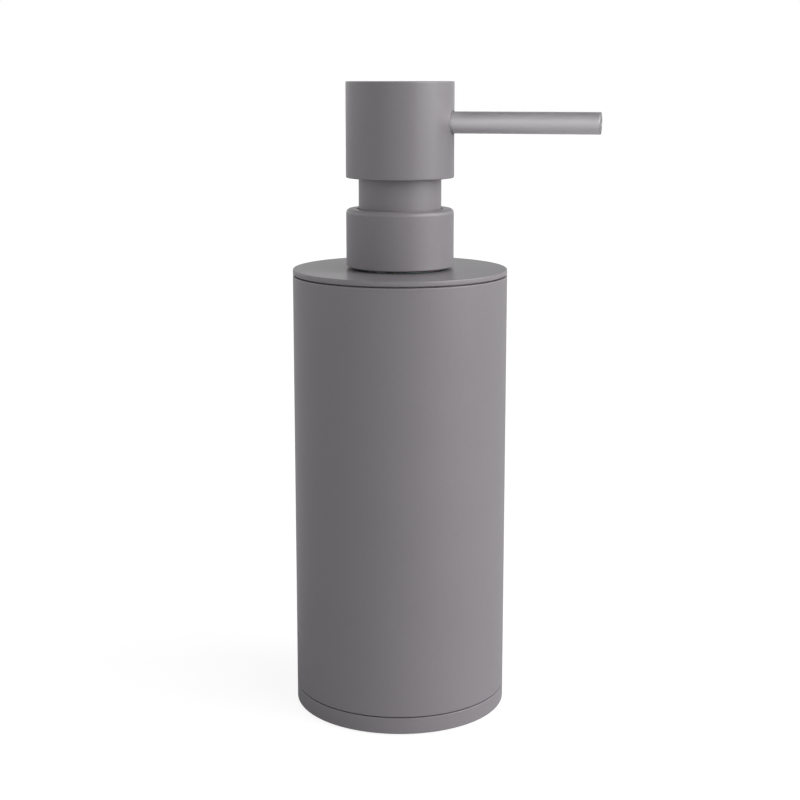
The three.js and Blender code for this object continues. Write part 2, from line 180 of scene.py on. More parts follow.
def sum_of(group, terms):
    """Adds up (weight, socket) terms inside a node tree and gives the sum's socket."""
    total = None
    for weight, socket in terms:
        node = group.nodes.new("ShaderNodeMath")
        node.operation = "MULTIPLY_ADD"
        group.links.new(socket, node.inputs[0])
        node.inputs[1].default_value = weight
        node.inputs[2].default_value = 0.0
        if total is not None:
            group.links.new(total, node.inputs[2])
        total = node.outputs[0]
    return total


def noise(group, scale, detail, stretch=None, scale_from=None):
    """A noise texture in the piece's own coordinates. stretch squeezes the pattern along X, Y and Z."""
    where = group.nodes.new("ShaderNodeTexCoord").outputs["Object"]
    if stretch:
        mapping = group.nodes.new("ShaderNodeMapping")
        mapping.inputs["Scale"].default_value = stretch
        group.links.new(where, mapping.inputs["Vector"])
        where = mapping.outputs["Vector"]
    node = group.nodes.new("ShaderNodeTexNoise")
    node.inputs["Scale"].default_value = scale
    node.inputs["Detail"].default_value = detail
    group.links.new(where, node.inputs["Vector"])
    if scale_from is not None:
        group.links.new(scale_from, node.inputs["Scale"])
    return node.outputs["Fac"]


def banded(group, socket, low, high, to_low=0.0, to_high=1.0):
    """Stretches low..high of a value to to_low..to_high, and cuts it off there."""
    node = group.nodes.new("ShaderNodeMapRange")
    group.links.new(socket, node.inputs["Value"])
    node.inputs["From Min"].default_value = low
    node.inputs["From Max"].default_value = high
    node.inputs["To Min"].default_value = to_low
    node.inputs["To Max"].default_value = to_high
    return node.outputs["Result"]


def powder_coat_skin():
    """Baked powder: low orange peel, a finer grain on it, and slow clouds in tone and gloss."""
    group, given, out = new_group(
        "powder_coat_skin",
        [("Peel Scale", 900.0), ("Grain Scale", 4200.0), ("Cloud Scale", 45.0)],
        ["Tone", "Gloss", "Height"],
    )
    peel = noise(group, 900, 2, scale_from=given.outputs["Peel Scale"])
    grain = noise(group, 4200, 1, scale_from=given.outputs["Grain Scale"])
    cloud = noise(group, 45, 3, scale_from=given.outputs["Cloud Scale"])
    links = [
        ("Tone", [(0.35, peel), (0.25, grain), (0.4, cloud)]),
        ("Gloss", [(0.3, peel), (0.2, grain), (0.5, cloud)]),
        ("Height", [(0.75, peel), (0.25, grain)]),
    ]
    for label, terms in links:
        group.links.new(sum_of(group, terms), out.inputs[label])
    return group


def thin_edges():
    """Where the coat runs thin on a corner: the edge layer of the mesh, broken up by a small noise."""
    group, given, out = new_group("thin_edges", [("Amount", 1.0)], ["Mask"])
    marked = group.nodes.new("ShaderNodeAttribute")
    marked.attribute_name = "edge"
    patchy = banded(group, noise(group, 700, 3), 0.3, 0.7, 0.35, 1.0)
    first = group.nodes.new("ShaderNodeMath")
    first.operation = "MULTIPLY"
    group.links.new(marked.outputs["Fac"], first.inputs[0])
    group.links.new(patchy, first.inputs[1])
    second = group.nodes.new("ShaderNodeMath")
    second.operation = "MULTIPLY"
    group.links.new(first.outputs[0], second.inputs[0])
    group.links.new(given.outputs["Amount"], second.inputs[1])
    group.links.new(second.outputs[0], out.inputs["Mask"])
    return group


coat_group = powder_coat_skin()
edge_group = thin_edges()


def blank_material(name):
    """A material with only a Principled shader and its output.
    Gives the material, its tree and the shader."""
    material = bpy.data.materials.new(name)
    material.use_nodes = True
    tree = material.node_tree
    return material, tree, tree.nodes["Principled BSDF"]


def placed(tree, group, **values):
    """Puts a shared group into a material with its own values. Underscores stand for spaces."""
    node = tree.nodes.new("ShaderNodeGroup")
    node.node_tree = group
    for label, value in values.items():
        node.inputs[label.replace("_", " ")].default_value = value
    return node


def tinted(tree, factor, low, high):
    """A colour that runs from low to high as a value runs from 0 to 1."""
    node = tree.nodes.new("ShaderNodeMix")
    node.data_type = "RGBA"
    tree.links.new(factor, node.inputs["Factor"])
    for socket, colour in (("A", low), ("B", high)):
        if isinstance(colour, bpy.types.NodeSocket):
            tree.links.new(colour, [s for s in node.inputs if s.name == socket and s.type == "RGBA"][0])
        else:
            [s for s in node.inputs if s.name == socket and s.type == "RGBA"][0].default_value = (*colour, 1)
    return [s for s in node.outputs if s.type == "RGBA"][0]


def bumped(tree, shader, height, distance, strength):
    """Raises the surface by a height value; distance is the relief in metres."""
    node = tree.nodes.new("ShaderNodeBump")
    node.inputs["Distance"].default_value = distance
    node.inputs["Strength"].default_value = strength
    tree.links.new(height, node.inputs["Height"])
    tree.links.new(node.outputs["Normal"], shader.inputs["Normal"])


COAT_LOW = (0.191, 0.180, 0.192)
COAT_HIGH = (0.201, 0.189, 0.202)
COAT_EDGE = (0.222, 0.210, 0.223)


def coated_metal(name, peel=900.0, edge_amount=0.6, roughness=(0.30, 0.34)):
    """Satin grey powder coat on metal."""
    material, tree, shader = blank_material(name)
    skin = placed(tree, coat_group, Peel_Scale=peel)
    tone = banded(tree, skin.outputs["Tone"], 0.35, 0.65)
    body = tinted(tree, tone, COAT_LOW, COAT_HIGH)
    worn = placed(tree, edge_group, Amount=edge_amount)
    tree.links.new(tinted(tree, worn.outputs["Mask"], body, COAT_EDGE), shader.inputs["Base Color"])
    gloss = banded(tree, skin.outputs["Gloss"], 0.35, 0.65, *roughness)
    tree.links.new(gloss, shader.inputs["Roughness"])
    bumped(tree, shader, skin.outputs["Height"], 0.02 * MM, 0.2)
    return material


def dressed(piece, material, body, slot, *nodes):
    """Gives a piece its material and its body, and lets it stand for its CAD nodes. The slot argument is not
    used.
    """
    piece.data.materials.clear()
    piece.data.materials.append(material)
    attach(piece, body)
    if nodes:
        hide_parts(*nodes)
    return piece


def rim_groove(height):
    """Corners of the O-ring groove in a rim, from below upwards."""
    return [
        (rim_radius, height - groove_half, 0.1 * MM),
        (groove_radius, height - groove_half, 0),
        (groove_radius, height + groove_half, 0),
        (rim_radius, height + groove_half, 0.1 * MM),
    ]


pad_pocket = pad_high.x + seam
pad_ceiling = pad_high.z + seam
base_plate = turned(
    "base_plate_coated",
    [
        (0, pad_ceiling, 0),
        (pad_pocket, pad_ceiling, 0),
        (pad_pocket, base_low.z, 0.2 * MM),
        (body_radius, base_low.z, 0.4 * MM),
        (body_radius, tube_low.z - seam, 0.18 * MM),
        (rim_radius, tube_low.z - seam, 0),
        *rim_groove(base_groove),
        (rim_radius, base_high.z, 0.4 * MM),
        (rim_bore, base_high.z, 0.3 * MM),
        (rim_bore, base_floor, 0.5 * MM),
        (0, base_floor, 0),
    ],
    rounds=192,
)
dressed(base_plate, coated_metal("coat_on_base"), "housing", "coated_metal", "base_plate")

# ------------------------
# Foot pad
# A moulded silicone disc glued into the pocket. It stands a little proud of the metal, and round grooves in
# its underside let it grip a wet worktop.
# ------------------------
rubber_matt = (0.62, 0.78)


def rubber_skin():
    """Moulded rubber: fine pits, and a pale bloom in patches."""
    group, given, out = new_group("rubber_skin", [("Pit Scale", 2600.0)], ["Bloom", "Height"])
    pits = noise(group, 2600, 2, scale_from=given.outputs["Pit Scale"])
    patches = noise(group, 120, 4)
    group.links.new(banded(group, patches, 0.45, 0.75), out.inputs["Bloom"])
    group.links.new(pits, out.inputs["Height"])
    return group


rubber_group = rubber_skin()


def rubber(name, dark, bloomed, roughness):
    """Black rubber with a little bloom."""
    material, tree, shader = blank_material(name)
    skin = placed(tree, rubber_group)
    tree.links.new(tinted(tree, skin.outputs["Bloom"], dark, bloomed), shader.inputs["Base Color"])
    tree.links.new(banded(tree, skin.outputs["Bloom"], 0, 1, *roughness), shader.inputs["Roughness"])
    bumped(tree, shader, skin.outputs["Height"], 0.02 * MM, 0.4)
    return material


pad_rubber = rubber("pad_silicone", (0.022, 0.022, 0.024), (0.045, 0.045, 0.048), rubber_matt)
pad_underside = [(0, pad_low.z, 0)]
groove_depth = 0.3 * MM
for step in range(6):
    middle = (7.5 + 3 * step) * MM
    pad_underside += [
        (middle - 0.6 * MM, pad_low.z, 0.1 * MM),
        (middle - 0.4 * MM, pad_low.z + groove_depth, 0),
        (middle + 0.4 * MM, pad_low.z + groove_depth, 0),
        (middle + 0.6 * MM, pad_low.z, 0.1 * MM),
    ]
foot_pad = turned(
    "foot_pad_silicone",
    [
        *pad_underside,
        (pad_high.x, pad_low.z, 0.3 * MM),
        (pad_high.x, pad_high.z, 0.1 * MM),
        (0, pad_high.z, 0),
    ],
)
dressed(foot_pad, pad_rubber, "housing", "pad_rubber", "foot_pad")

# ------------------------
# Base O-ring and lid O-ring
# Two alike rings of round rubber cord. Each sits in the groove of a rim and grips the inside of the tube.
# ------------------------
seal_rubber = rubber("seal_rubber", (0.016, 0.016, 0.017), (0.03, 0.03, 0.031), (0.38, 0.5))


def round_ring(name, radius, height, section, rounds=128, facets=14):
    """A rubber ring of round section."""
    corners = [
        (
            radius + section * math.cos(2 * math.pi * k / facets),
            height + section * math.sin(2 * math.pi * k / facets),
            0,
        )
        for k in range(facets)
    ]
    return turned(name, corners, rounds=rounds)


for ring_name in ("base_o_ring", "lid_o_ring"):
    ring_low, ring_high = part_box(ring_name)
    ring_section = 0.6 * MM
    ring = round_ring(
        ring_name + "_cord",
        ring_high.x - ring_section,
        (ring_low.z + ring_high.z) / 2,
        ring_section * 0.86,
    )
    dressed(ring, seal_rubber, "housing", "seal_rubber", ring_name)

# ------------------------
# Body tube
# A drawn steel tube, open at both ends, that slips over the base's rim and under the lid's. Coated outside
# and in; its two ends are only just broken, so the seams read as fine dark lines.
# ------------------------
tube_wall = 1 * MM
body_tube = turned(
    "body_tube_coated",
    [
        (body_radius - tube_wall, tube_low.z, 0.1 * MM),
        (body_radius, tube_low.z, 0.2 * MM),
        (body_radius, tube_high.z, 0.2 * MM),
        (body_radius - tube_wall, tube_high.z, 0.1 * MM),
    ],
    rounds=192,
)
dressed(body_tube, coated_metal("coat_on_tube"), "housing", "coated_metal", "body_tube")

# ------------------------
# Lid plate
# A flat turned plate with a rim below it. The bottle's neck comes up through its hole, and the collar
# screwed on that neck holds the plate down.
# ------------------------
lid_low, lid_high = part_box("lid_plate")
lid_thickness = 1.45 * MM
lid_under = lid_high.z - lid_thickness
lid_hole = 12.6 * MM
lid_groove = 121.6 * MM
lid_plate = turned(
    "lid_plate_coated",
    [
        (lid_hole, lid_under, 0.1 * MM),
        (rim_bore, lid_under, 0),
        (rim_bore, lid_low.z, 0.3 * MM),
        (rim_radius, lid_low.z, 0.4 * MM),
        *rim_groove(lid_groove),
        (rim_radius, lid_under, 0),
        (body_radius, lid_under, 0.18 * MM),
        (body_radius, lid_high.z, 0.3 * MM),
        (lid_hole, lid_high.z, 0.2 * MM),
    ],
    rounds=192,
)
dressed(lid_plate, coated_metal("coat_on_lid"), "housing", "coated_metal", "lid_plate")

# ------------------------
# Inner bottle
# A blown bottle of milky plastic that holds the soap. Its threaded neck passes through the lid; a bead on
# the neck bears up on the lid, and the mould left a fine parting line down both sides.
# ------------------------
bottle_low, bottle_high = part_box("inner_bottle")
bottle_radius = bottle_high.x
bottle_wall = 1.2 * MM
neck_root = 11 * MM
mouth_radius = 9.4 * MM
shoulder_ease = 9 * MM
shoulder_top = 119.4 * MM
thread_pitch = 3.18 * MM


def helix(shape, section, radius, low, high, turns, steps, taper=0.0, crowd=0.0):
    """Sweeps a closed section of (out, up) offsets along a helix about Z and adds it to a bmesh.
    taper sinks the section into the wall over that share of each end; crowd closes up the coils in it."""
    layer = shape.verts.layers.float.get("edge") or shape.verts.layers.float.new("edge")
    count = int(turns * steps)
    rows = []
    for i in range(count + 1):
        t = i / count
        angle = 2 * math.pi * turns * t
        rise = t
        if crowd:
            ramp = min(max((t - crowd) / (1 - 2 * crowd), 0), 1)
            flat = 0.12
            rise = flat * t + (1 - flat) * (ramp * ramp * (3 - 2 * ramp))
        size = min(1, t / taper, (1 - t) / taper) if taper else 1
        out_way = Vector((math.cos(angle), math.sin(angle), 0))
        centre = out_way * radius + Vector((0, 0, low + (high - low) * rise))
        row = []
        for out, up in section:
            vertex = shape.verts.new(centre + out_way * out * size + Vector((0, 0, up * max(size, 0.25))))
            vertex[layer] = 0.0
            row.append(vertex)
        rows.append(row)
    for low_row, high_row in zip(rows, rows[1:]):
        for k in range(len(section)):
            n = (k + 1) % len(section)
            shape.faces.new([low_row[k], low_row[n], high_row[n], high_row[k]])
    shape.faces.new(rows[0])
    shape.faces.new(rows[-1])


def moulded_skin():
    """Moulded plastic: a fine spark-eroded texture and slow flow clouds."""
    group, given, out = new_group("moulded_skin", [("Texture Scale", 3000.0)], ["Cloud", "Height"])
    fine = noise(group, 3000, 2, scale_from=given.outputs["Texture Scale"])
    flow = noise(group, 70, 3, stretch=(1, 1, 0.4))
    group.links.new(banded(group, flow, 0.3, 0.7), out.inputs["Cloud"])
    group.links.new(fine, out.inputs["Height"])
    return group


moulded_group = moulded_skin()


def moulded_plastic(name, low, high, roughness, milk=0.0, clear=0.0, texture=3000.0):
    """Moulded plastic; milk lets light into it, and clear lets light through it."""
    material, tree, shader = blank_material(name)
    skin = placed(tree, moulded_group, Texture_Scale=texture)
    tree.links.new(tinted(tree, skin.outputs["Cloud"], low, high), shader.inputs["Base Color"])
    tree.links.new(banded(tree, skin.outputs["Cloud"], 0, 1, *roughness), shader.inputs["Roughness"])
    shader.inputs["Subsurface Weight"].default_value = milk
    shader.inputs["Subsurface Scale"].default_value = 1 * MM
    shader.inputs["Transmission Weight"].default_value = clear
    bumped(tree, shader, skin.outputs["Height"], 0.01 * MM, 0.3)
    return material


bottle_plastic = moulded_plastic("bottle_milky", (0.74, 0.76, 0.74), (0.82, 0.84, 0.82), (0.34, 0.44), 0.5)
bottle = bmesh.new()
bead_radius = 13.6 * MM
bead_top = lid_under - 0.45 * MM
bead_bottom = bead_top - 1.1 * MM
revolve(
    bottle,
    [
        (0, bottle_low.z + 0.9 * MM, 0),
        (bottle_radius - 5 * MM, bottle_low.z + 0.7 * MM, 0.5 * MM),
        (bottle_radius - 4 * MM, bottle_low.z, 0.5 * MM),
        (bottle_radius, bottle_low.z, 2 * MM),
        (bottle_radius, shoulder_top, shoulder_ease),
        (neck_root, shoulder_top, 1.2 * MM),
        (neck_root, bead_bottom, 0.3 * MM),
        (bead_radius, bead_bottom, 0.3 * MM),
        (bead_radius, bead_top, 0.2 * MM),
        (neck_root, bead_top, 0.2 * MM),
        (neck_root, bottle_high.z, 0.4 * MM),
        (mouth_radius, bottle_high.z, 0.3 * MM),
        (mouth_radius, shoulder_top - bottle_wall, 1.2 * MM),
        (bottle_radius - bottle_wall, shoulder_top - bottle_wall, shoulder_ease - bottle_wall),
        (bottle_radius - bottle_wall, bottle_low.z + 2 * MM, 1.2 * MM),
        (0, bottle_low.z + 2 * MM, 0),
    ],
    128,
)
thread_depth = 1.05 * MM
ridge = [
    (-0.3 * MM, -0.95 * MM),
    (thread_depth, -0.35 * MM),
    (thread_depth, 0.35 * MM),
    (-0.3 * MM, 0.95 * MM),
]
thread_turns = 1.15
thread_high = bottle_high.z - 1.1 * MM
thread_low = thread_high - thread_turns * thread_pitch
helix(bottle, ridge, neck_root, thread_low, thread_high, thread_turns, steps=96, taper=0.08)
parting_proud = 0.12 * MM
for vertex in bottle.verts:
    if abs(vertex.co.y) < 1e-9 and abs(vertex.co.x) > bottle_radius - 0.01 * MM:
        vertex.co.x += math.copysign(parting_proud, vertex.co.x)
inner_bottle = shown("inner_bottle_blown", bottle)
dressed(inner_bottle, bottle_plastic, "housing", "bottle_plastic", "inner_bottle")

# ------------------------
# Collar
# A turned metal cap with a softly rounded top edge. It hides the screw closure, and the neck of the head
# slides through its hole with a little clearance, which shows as a fine dark ring.
# ------------------------
collar_low, collar_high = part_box("collar_shell")
pump_radius = collar_high.x
collar_wall = 1 * MM
collar_hole = 11.9 * MM
collar_ceiling = collar_high.z - 1.2 * MM
collar_shell = turned(
    "collar_shell_coated",
    [
        (pump_radius - collar_wall, collar_low.z, 0),
        (pump_radius, collar_low.z, 0.35 * MM),
        (pump_radius, collar_high.z, 1.1 * MM),
        (collar_hole, collar_high.z, 0.25 * MM),
        (collar_hole, collar_ceiling, 0),
        (pump_radius - collar_wall, collar_ceiling, 0),
    ],
    rounds=160,
)
dressed(collar_shell, coated_metal("coat_on_collar"), "closure", "coated_metal", "collar_shell")

# ------------------------
# Neck bush
# A slit ring of dark plastic snapped under the collar's top. It guides the neck and keeps metal off metal;
# the slit lets it close up as it is pushed in.
# ------------------------
bush_low, bush_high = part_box("neck_bush")
bush_bore = 11.8 * MM
guide_plastic = moulded_plastic("guide_plastic", (0.045, 0.045, 0.05), (0.065, 0.065, 0.07), (0.4, 0.52))
neck_bush = turned(
    "neck_bush_moulded",
    [
        (bush_bore, bush_low.z, 0.3 * MM),
        (bush_high.x, bush_low.z, 0.2 * MM),
        (bush_high.x, bush_high.z, 0.2 * MM),
        (bush_bore, bush_high.z, 0.3 * MM),
    ],
)
slit_half = 0.6 * MM


def worked(piece, operation, *tools):
    """Cuts tools out of a piece (DIFFERENCE) or joins them to it (UNION), and removes the tools."""
    for tool in tools:
        modifier = piece.modifiers.new("worked", "BOOLEAN")
        modifier.operation = operation
        modifier.solver = "EXACT"
        modifier.object = tool
        graph = bpy.context.evaluated_depsgraph_get()
        mesh = bpy.data.meshes.new_from_object(piece.evaluated_get(graph))
        piece.modifiers.clear()
        piece.data = mesh
        bpy.data.objects.remove(tool)
    shape = bmesh.new()
    shape.from_mesh(piece.data)
    filled(piece.data, shape)


def block(name, low, high, turn=0.0):
    """A square-edged block between two corners, turned about Z, to cut or join with."""
    shape = bmesh.new()
    corners = []
    for z in (low[2], high[2]):
        for x, y in ((low[0], low[1]), (high[0], low[1]), (high[0], high[1]), (low[0], high[1])):
            across = x * math.cos(turn) - y * math.sin(turn)
            along = x * math.sin(turn) + y * math.cos(turn)
            corners.append(shape.verts.new((across, along, z)))
    for face in ((3, 2, 1, 0), (4, 5, 6, 7), (0, 1, 5, 4), (1, 2, 6, 5), (2, 3, 7, 6), (3, 0, 4, 7)):
        shape.faces.new([corners[k] for k in face])
    return shown(name, shape)


slit = block(
    "slit",
    (-bush_high.x - 1 * MM, -slit_half, bush_low.z - 1 * MM),
    (-bush_bore + 1 * MM, slit_half, bush_high.z + 1 * MM),
)
worked(neck_bush, "DIFFERENCE", slit)
dressed(neck_bush, guide_plastic, "closure", "guide_plastic", "neck_bush")

# ------------------------
# Closure nut
# The screw closure that the collar is pressed onto. Fine splines outside hold the collar, and the lip
# at the top holds the pump's flange down. Its bore is plain here, so that it can turn without climbing.
# ------------------------
nut_low, nut_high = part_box("closure_nut")
cylinder_low, cylinder_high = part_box("pump_cylinder")
nut_bore = 12.35 * MM
nut_ceiling = cylinder_high.z + 0.3 * MM
nut_hole = 9.6 * MM
nut = bmesh.new()
nut_rounds = 144
revolve(
    nut,
    [
        (nut_bore, nut_low.z, 0.15 * MM),
        (nut_high.x, nut_low.z, 0.15 * MM),
        (nut_high.x, nut_high.z, 0.25 * MM),
        (nut_hole, nut_high.z, 0.2 * MM),
        (nut_hole, nut_ceiling, 0.1 * MM),
        (nut_bore, nut_ceiling, 0),
    ],
    nut_rounds,
)
spline_depth = 0.22 * MM
spline_columns = 4
for vertex in nut.verts:
    reach = math.hypot(vertex.co.x, vertex.co.y)
    column = round(math.atan2(vertex.co.y, vertex.co.x) / (2 * math.pi) * nut_rounds)
    if reach > nut_high.x - 0.1 * MM and column % spline_columns in (1, 2):
        vertex.co.x *= 1 - spline_depth / reach
        vertex.co.y *= 1 - spline_depth / reach
closure_nut = shown("closure_nut_moulded", nut)
dressed(closure_nut, guide_plastic, "closure", "guide_plastic", "closure_nut")

# ------------------------
# Collar washer
# A flat rubber washer between the closure and the lid. Its edge is the dark line under the collar.
# ------------------------
washer_low, washer_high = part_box("collar_washer")
washer_bore = 12.6 * MM


def flat_washer(name, bore, low, high, rounds=112):
    """A flat rubber washer with softened edges."""
    corners = [(bore, low.z), (high.x, low.z), (high.x, high.z), (bore, high.z)]
    return turned(name, [(radius, height, 0.15 * MM) for radius, height in corners], rounds=rounds)


collar_washer = flat_washer("collar_washer_cut", washer_bore, washer_low, washer_high)
dressed(collar_washer, seal_rubber, "closure", "seal_rubber", "collar_washer")

# ------------------------
# Pump cylinder
# The moulded barrel that hangs in the bottle from its flange. It narrows to the ball's chamber and seat, and
# ends in the socket of the dip tube; a small hole under the flange lets air in as the soap is drawn.
# ------------------------
barrel_radius = 7 * MM
barrel_bore = 6 * MM
socket_radius = 4.7 * MM
socket_bore = 3.5 * MM
socket_ceiling = 86.6 * MM
chamber_radius = 3.1 * MM
seat_hole = 1.7 * MM
seat_low = 88 * MM
seat_high = 89.5 * MM
chamber_top = 94 * MM
barrel_foot = 95.8 * MM
flange_under = cylinder_high.z - 1 * MM
vent_level = 127.5 * MM
vent_radius = 0.7 * MM
pump_plastic = moulded_plastic("pump_white", (0.76, 0.76, 0.74), (0.82, 0.82, 0.8), (0.32, 0.42), 0.2)


def round_bar(name, radius, start, end, rounds=48):
    """A round bar between two points, to cut or join with."""
    start, end = Vector(start), Vector(end)
    length = (end - start).length
    tool = turned(name, [(0, 0, 0), (radius, 0, 0), (radius, length, 0), (0, length, 0)], rounds=rounds)
    tool.data.transform((end - start).to_track_quat("Z", "Y").to_matrix().to_4x4())
    for vertex in tool.data.vertices:
        vertex.co += start
    return tool


pump_cylinder = turned(
    "pump_cylinder_moulded",
    [
        (socket_bore, cylinder_low.z, 0.2 * MM),
        (socket_radius, cylinder_low.z, 0.3 * MM),
        (socket_radius, chamber_top, 0.6 * MM),
        (barrel_radius, barrel_foot, 0.6 * MM),
        (barrel_radius, flange_under - 3 * MM, 0.1 * MM),
        (barrel_radius + 0.4 * MM, flange_under - 2.4 * MM, 0.1 * MM),
        (barrel_radius + 0.4 * MM, flange_under, 0.1 * MM),
        (cylinder_high.x, flange_under, 0.15 * MM),
        (cylinder_high.x, cylinder_high.z, 0.15 * MM),
        (barrel_bore, cylinder_high.z, 0.2 * MM),
        (barrel_bore, barrel_foot, 0.3 * MM),
        (chamber_radius, chamber_top, 0.3 * MM),
        (chamber_radius, seat_high, 0.1 * MM),
        (seat_hole, seat_low, 0.1 * MM),
        (seat_hole, socket_ceiling, 0.1 * MM),
        (socket_bore, socket_ceiling, 0),
    ],
    rounds=96,
)
vent_start = (0, barrel_bore - 1 * MM, vent_level)
vent_end = (0, barrel_radius + 1 * MM, vent_level)
worked(pump_cylinder, "DIFFERENCE", round_bar("vent", vent_radius, vent_start, vent_end))
dressed(pump_cylinder, pump_plastic, "pump", "pump_plastic", "pump_cylinder")

# ------------------------
# Closure gasket
# A flat rubber washer that seals the cylinder's flange on the mouth of the bottle.
# ------------------------
gasket_low, gasket_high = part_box("closure_gasket")
gasket_bore = barrel_radius + 0.45 * MM
closure_gasket = flat_washer("closure_gasket_cut", gasket_bore, gasket_low, gasket_high)
dressed(closure_gasket, seal_rubber, "pump", "seal_rubber", "closure_gasket")

# ------------------------
# Chaplet
# The plug that snaps into the top of the cylinder and locks the plunger in. Its tower guides the stem.
# ------------------------
chaplet_low, chaplet_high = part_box("chaplet")
stem_low, stem_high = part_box("stem")
chaplet_bore = stem_high.x + 0.3 * MM
chaplet_plug = barrel_bore - 0.3 * MM
chaplet_flange_low = cylinder_high.z + 0.3 * MM
chaplet_flange_high = cylinder_high.z + 1.7 * MM
chaplet_tower = 5.2 * MM
chaplet = turned(
    "chaplet_moulded",
    [
        (chaplet_bore, chaplet_low.z, 0.2 * MM),
        (chaplet_plug, chaplet_low.z, 0.4 * MM),
        (chaplet_plug, chaplet_flange_low, 0),
        (chaplet_high.x, chaplet_flange_low, 0.2 * MM),
        (chaplet_high.x, chaplet_flange_high, 0.3 * MM),
        (chaplet_tower, chaplet_flange_high, 0.4 * MM),
        (chaplet_tower, chaplet_high.z, 0.3 * MM),
        (chaplet_bore, chaplet_high.z, 0.3 * MM),
    ],
    rounds=96,
)
dressed(chaplet, pump_plastic, "pump", "pump_plastic", "chaplet")

# ------------------------
# Ball retainer
# A small moulded cage on the cylinder's floor. It keeps the inlet ball near its seat and centres the spring,
# and four slots in its foot let the soap past the lifted ball.
# ------------------------
retainer_low, retainer_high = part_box("ball_retainer")
retainer_bore = 1.6 * MM
retainer_stop = 2.7 * MM
retainer_boss = 3.6 * MM
retainer_flange = 97.9 * MM
ball_retainer = turned(
    "ball_retainer_moulded",
    [
        (retainer_bore, retainer_low.z, 0.1 * MM),
        (retainer_stop, retainer_low.z, 0.2 * MM),
        (retainer_stop, barrel_foot + 0.3 * MM, 0.1 * MM),
        (retainer_high.x, barrel_foot + 0.3 * MM, 0.1 * MM),
        (retainer_high.x, retainer_flange, 0.2 * MM),
        (retainer_boss, retainer_flange, 0.1 * MM),
        (retainer_boss, retainer_high.z, 0.3 * MM),
        (retainer_bore, retainer_high.z, 0.2 * MM),
    ],
    rounds=72,
)
slot_half = 0.5 * MM
slot_height = 1.1 * MM
slots = [
    block(
        "slot",
        (-retainer_stop - 0.5 * MM, -slot_half, retainer_low.z - 0.5 * MM),
        (retainer_stop + 0.5 * MM, slot_half, retainer_low.z + slot_height),
        turn,
    )
    for turn in (0, math.pi / 2)
]
worked(ball_retainer, "DIFFERENCE", *slots)
dressed(ball_retainer, pump_plastic, "pump", "pump_plastic", "ball_retainer")

# ------------------------
# Dip tube
# An extruded tube pushed into the cylinder's socket. It reaches almost to the bottle's floor, and its end is
# cut at a slant so that it can't suck itself shut.
# ------------------------
dip_low, dip_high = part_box("dip_tube")
dip_bore = 2.3 * MM
dip_slant = math.tan(math.radians(35))
tube_plastic = moulded_plastic(
    "tube_clear", (0.8, 0.82, 0.82), (0.88, 0.9, 0.9), (0.16, 0.26), 0.1, 0.35, 1500
)
dip_tube = turned(
    "dip_tube_extruded",
    [
        (dip_bore, dip_low.z, 0),
        (dip_high.x, dip_low.z, 0),
        (dip_high.x, dip_high.z, 0.2 * MM),
        (dip_bore, dip_high.z, 0.2 * MM),
    ],
    rounds=72,
)
for vertex in dip_tube.data.vertices:
    if vertex.co.z < dip_low.z + 0.5 * MM:
        vertex.co.z += (dip_high.x - vertex.co.x) * dip_slant
dressed(dip_tube, tube_plastic, "pump", "tube_plastic", "dip_tube")

# ------------------------
# Inlet ball and outlet ball
# The two valve balls: a glass one on the cylinder's seat, and a smaller steel one in the foot of the stem.
# ------------------------


def ball_piece(name, node, rounds=48):
    """A valve ball in the place of its node."""
    low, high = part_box(node)
    radius = (high.z - low.z) / 2
    middle = (high.z + low.z) / 2
    half_turn = rounds // 2
    arc = [
        (
            radius * math.sin(math.pi * k / half_turn) if 0 < k < half_turn else 0,
            middle - radius * math.cos(math.pi * k / half_turn),
            0,
        )
        for k in range(half_turn + 1)
    ]
    return turned(name, arc, rounds=rounds)


def valve_glass():
    """Soda-lime glass with the faint haze of a tumbled ball."""
    material, tree, shader = blank_material("valve_glass")
    haze = noise(tree, 1800, 3)
    tree.links.new(tinted(tree, haze, (0.8, 0.87, 0.85), (0.9, 0.95, 0.93)), shader.inputs["Base Color"])
    tree.links.new(banded(tree, haze, 0.3, 0.7, 0.03, 0.14), shader.inputs["Roughness"])
    shader.inputs["Transmission Weight"].default_value = 0.85
    bumped(tree, shader, haze, 0.004 * MM, 0.3)
    return material


def stainless(name, roughness, stretch, dark=(0.5, 0.5, 0.5), light=(0.66, 0.66, 0.65)):
    """Stainless steel with fine drawing or polishing lines."""
    material, tree, shader = blank_material(name)
    lines = noise(tree, 2200, 3, stretch=stretch)
    tree.links.new(tinted(tree, lines, dark, light), shader.inputs["Base Color"])
    tree.links.new(banded(tree, lines, 0.3, 0.7, *roughness), shader.inputs["Roughness"])
    shader.inputs["Metallic"].default_value = 1.0
    bumped(tree, shader, lines, 0.004 * MM, 0.3)
    return material


inlet_ball = ball_piece("inlet_ball_glass", "inlet_ball")
dressed(inlet_ball, valve_glass(), "inlet_valve", "ball_glass", "inlet_ball")
outlet_ball = ball_piece("outlet_ball_steel", "outlet_ball", rounds=40)
ball_steel = stainless("ball_steel", (0.12, 0.22), (1, 1, 1))
dressed(outlet_ball, ball_steel, "outlet_valve", "spring_steel", "outlet_ball")

